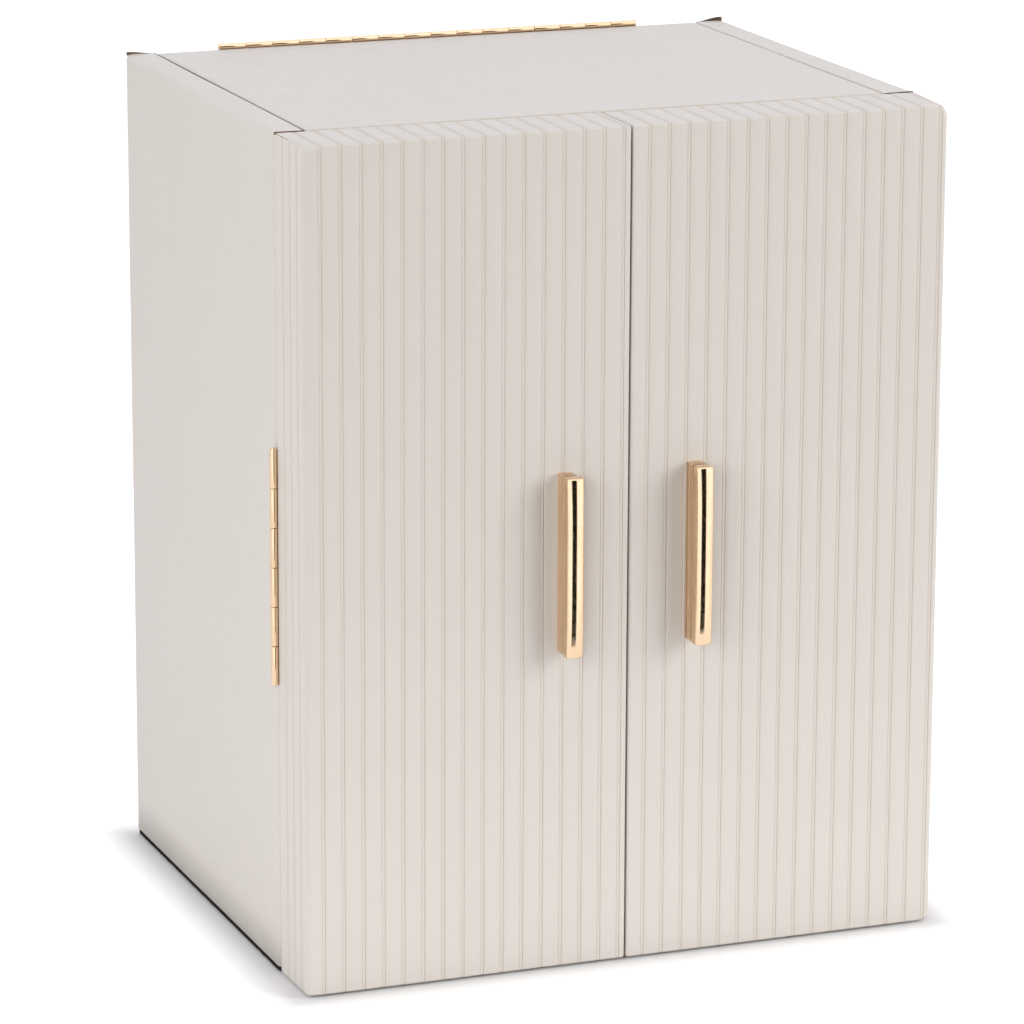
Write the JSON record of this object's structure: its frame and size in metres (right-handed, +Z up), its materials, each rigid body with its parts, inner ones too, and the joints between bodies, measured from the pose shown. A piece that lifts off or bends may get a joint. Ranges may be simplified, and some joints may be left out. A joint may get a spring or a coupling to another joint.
{
  "type": "jewelry box",
  "caption": "Leatherette jewelry cabinet with fluted double doors, gold bar handles, a flip-top mirrored lid and drawers inside.",
  "frame": {"origin": "middle of the width and of the depth without handles, on the surface that the felt base rests on", "axes": "+Z up, -Y out of the doors' front, +X to the right as seen from the front"},
  "size_m": [0.245, 0.2149, 0.304],
  "materials": {
    "leatherette": "smooth off-white leatherette with a soft satin sheen and fine grain",
    "velvet": "short-pile beige velvet",
    "fibreboard": "bare medium-density fibreboard",
    "gold_metal": "polished pale rose gold plating",
    "steel": "plain zinc-plated steel",
    "base_felt": "black non-slip felt",
    "mirror": "silvered glass mirror"
  },
  "bodies": {
    "case": {"side_board_left": "fibreboard", "side_board_right": "fibreboard", "side_wrap_left": "leatherette", "side_wrap_right": "leatherette", "back_board": "fibreboard", "back_wrap": "leatherette", "base_board": "fibreboard", "base_felt": "base_felt", "front_rail": "velvet", "compartment_floor": "velvet", "drawer_shelves": "velvet", "compartment_lining": "velvet", "compartment_dividers": "velvet", "ring_rolls": "velvet", "lid_hinge_fixed_leaf": "gold_metal", "lid_hinge_pin": "gold_metal", "door_hinge_fixed_leaf_left": "gold_metal", "door_hinge_fixed_leaf_right": "gold_metal", "door_hinge_pins": "gold_metal", "case_hinge_screws": "gold_metal", "door_magnets": "steel"},
    "lid": {"lid_board": "fibreboard", "lid_wrap": "leatherette", "lid_lining": "velvet", "lid_mirror": "mirror", "lid_hinge_moving_leaf": "gold_metal", "lid_hinge_screws": "gold_metal"},
    "door_left": {"door_board_left": "fibreboard", "door_wrap_left": "leatherette", "door_lining_left": "velvet", "door_handle_left": "gold_metal", "handle_screws_left": "steel", "necklace_hooks_left": "gold_metal", "necklace_pocket_left": "velvet", "door_hinge_leaf_left": "gold_metal", "door_hinge_screws_left": "gold_metal", "magnet_plate_left": "steel"},
    "door_right": {"door_board_right": "fibreboard", "door_wrap_right": "leatherette", "door_lining_right": "velvet", "door_handle_right": "gold_metal", "handle_screws_right": "steel", "necklace_hooks_right": "gold_metal", "necklace_pocket_right": "velvet", "door_hinge_leaf_right": "gold_metal", "door_hinge_screws_right": "gold_metal", "magnet_plate_right": "steel"},
    "drawer_1": {"drawer_box_1": "leatherette", "drawer_insert_1": "velvet", "drawer_knobs_1": "gold_metal"},
    "drawer_2": {"drawer_box_2": "leatherette", "drawer_insert_2": "velvet", "drawer_knobs_2": "gold_metal"},
    "drawer_3": {"drawer_box_3": "leatherette", "drawer_insert_3": "velvet", "drawer_knobs_3": "gold_metal"},
    "drawer_4": {"drawer_box_4": "leatherette", "drawer_insert_4": "velvet", "drawer_knobs_4": "gold_metal"}
  },
  "joints": [
    {"name": "lid_hinge", "type": "hinge", "parent": "case", "child": "lid", "pos_m": [0, 0.10085, 0.3028], "axis": [-1, 0, 0], "range_deg": [0, 100]},
    {"name": "door_left_hinge", "type": "hinge", "parent": "case", "child": "door_left", "pos_m": [-0.1211, -0.07185, 0.1492], "axis": [0, 0, -1], "range_deg": [0, 175]},
    {"name": "door_right_hinge", "type": "hinge", "parent": "case", "child": "door_right", "pos_m": [0.1211, -0.07185, 0.1492], "axis": [0, 0, 1], "range_deg": [0, 175]},
    {"name": "drawer_1_slide", "type": "slide", "parent": "case", "child": "drawer_1", "axis": [0, -1, 0], "range_m": [0, 0.025]},
    {"name": "drawer_2_slide", "type": "slide", "parent": "case", "child": "drawer_2", "axis": [0, -1, 0], "range_m": [0, 0.025]},
    {"name": "drawer_3_slide", "type": "slide", "parent": "case", "child": "drawer_3", "axis": [0, -1, 0], "range_m": [0, 0.025]},
    {"name": "drawer_4_slide", "type": "slide", "parent": "case", "child": "drawer_4", "axis": [0, -1, 0], "range_m": [0, 0.025]}
  ]
}
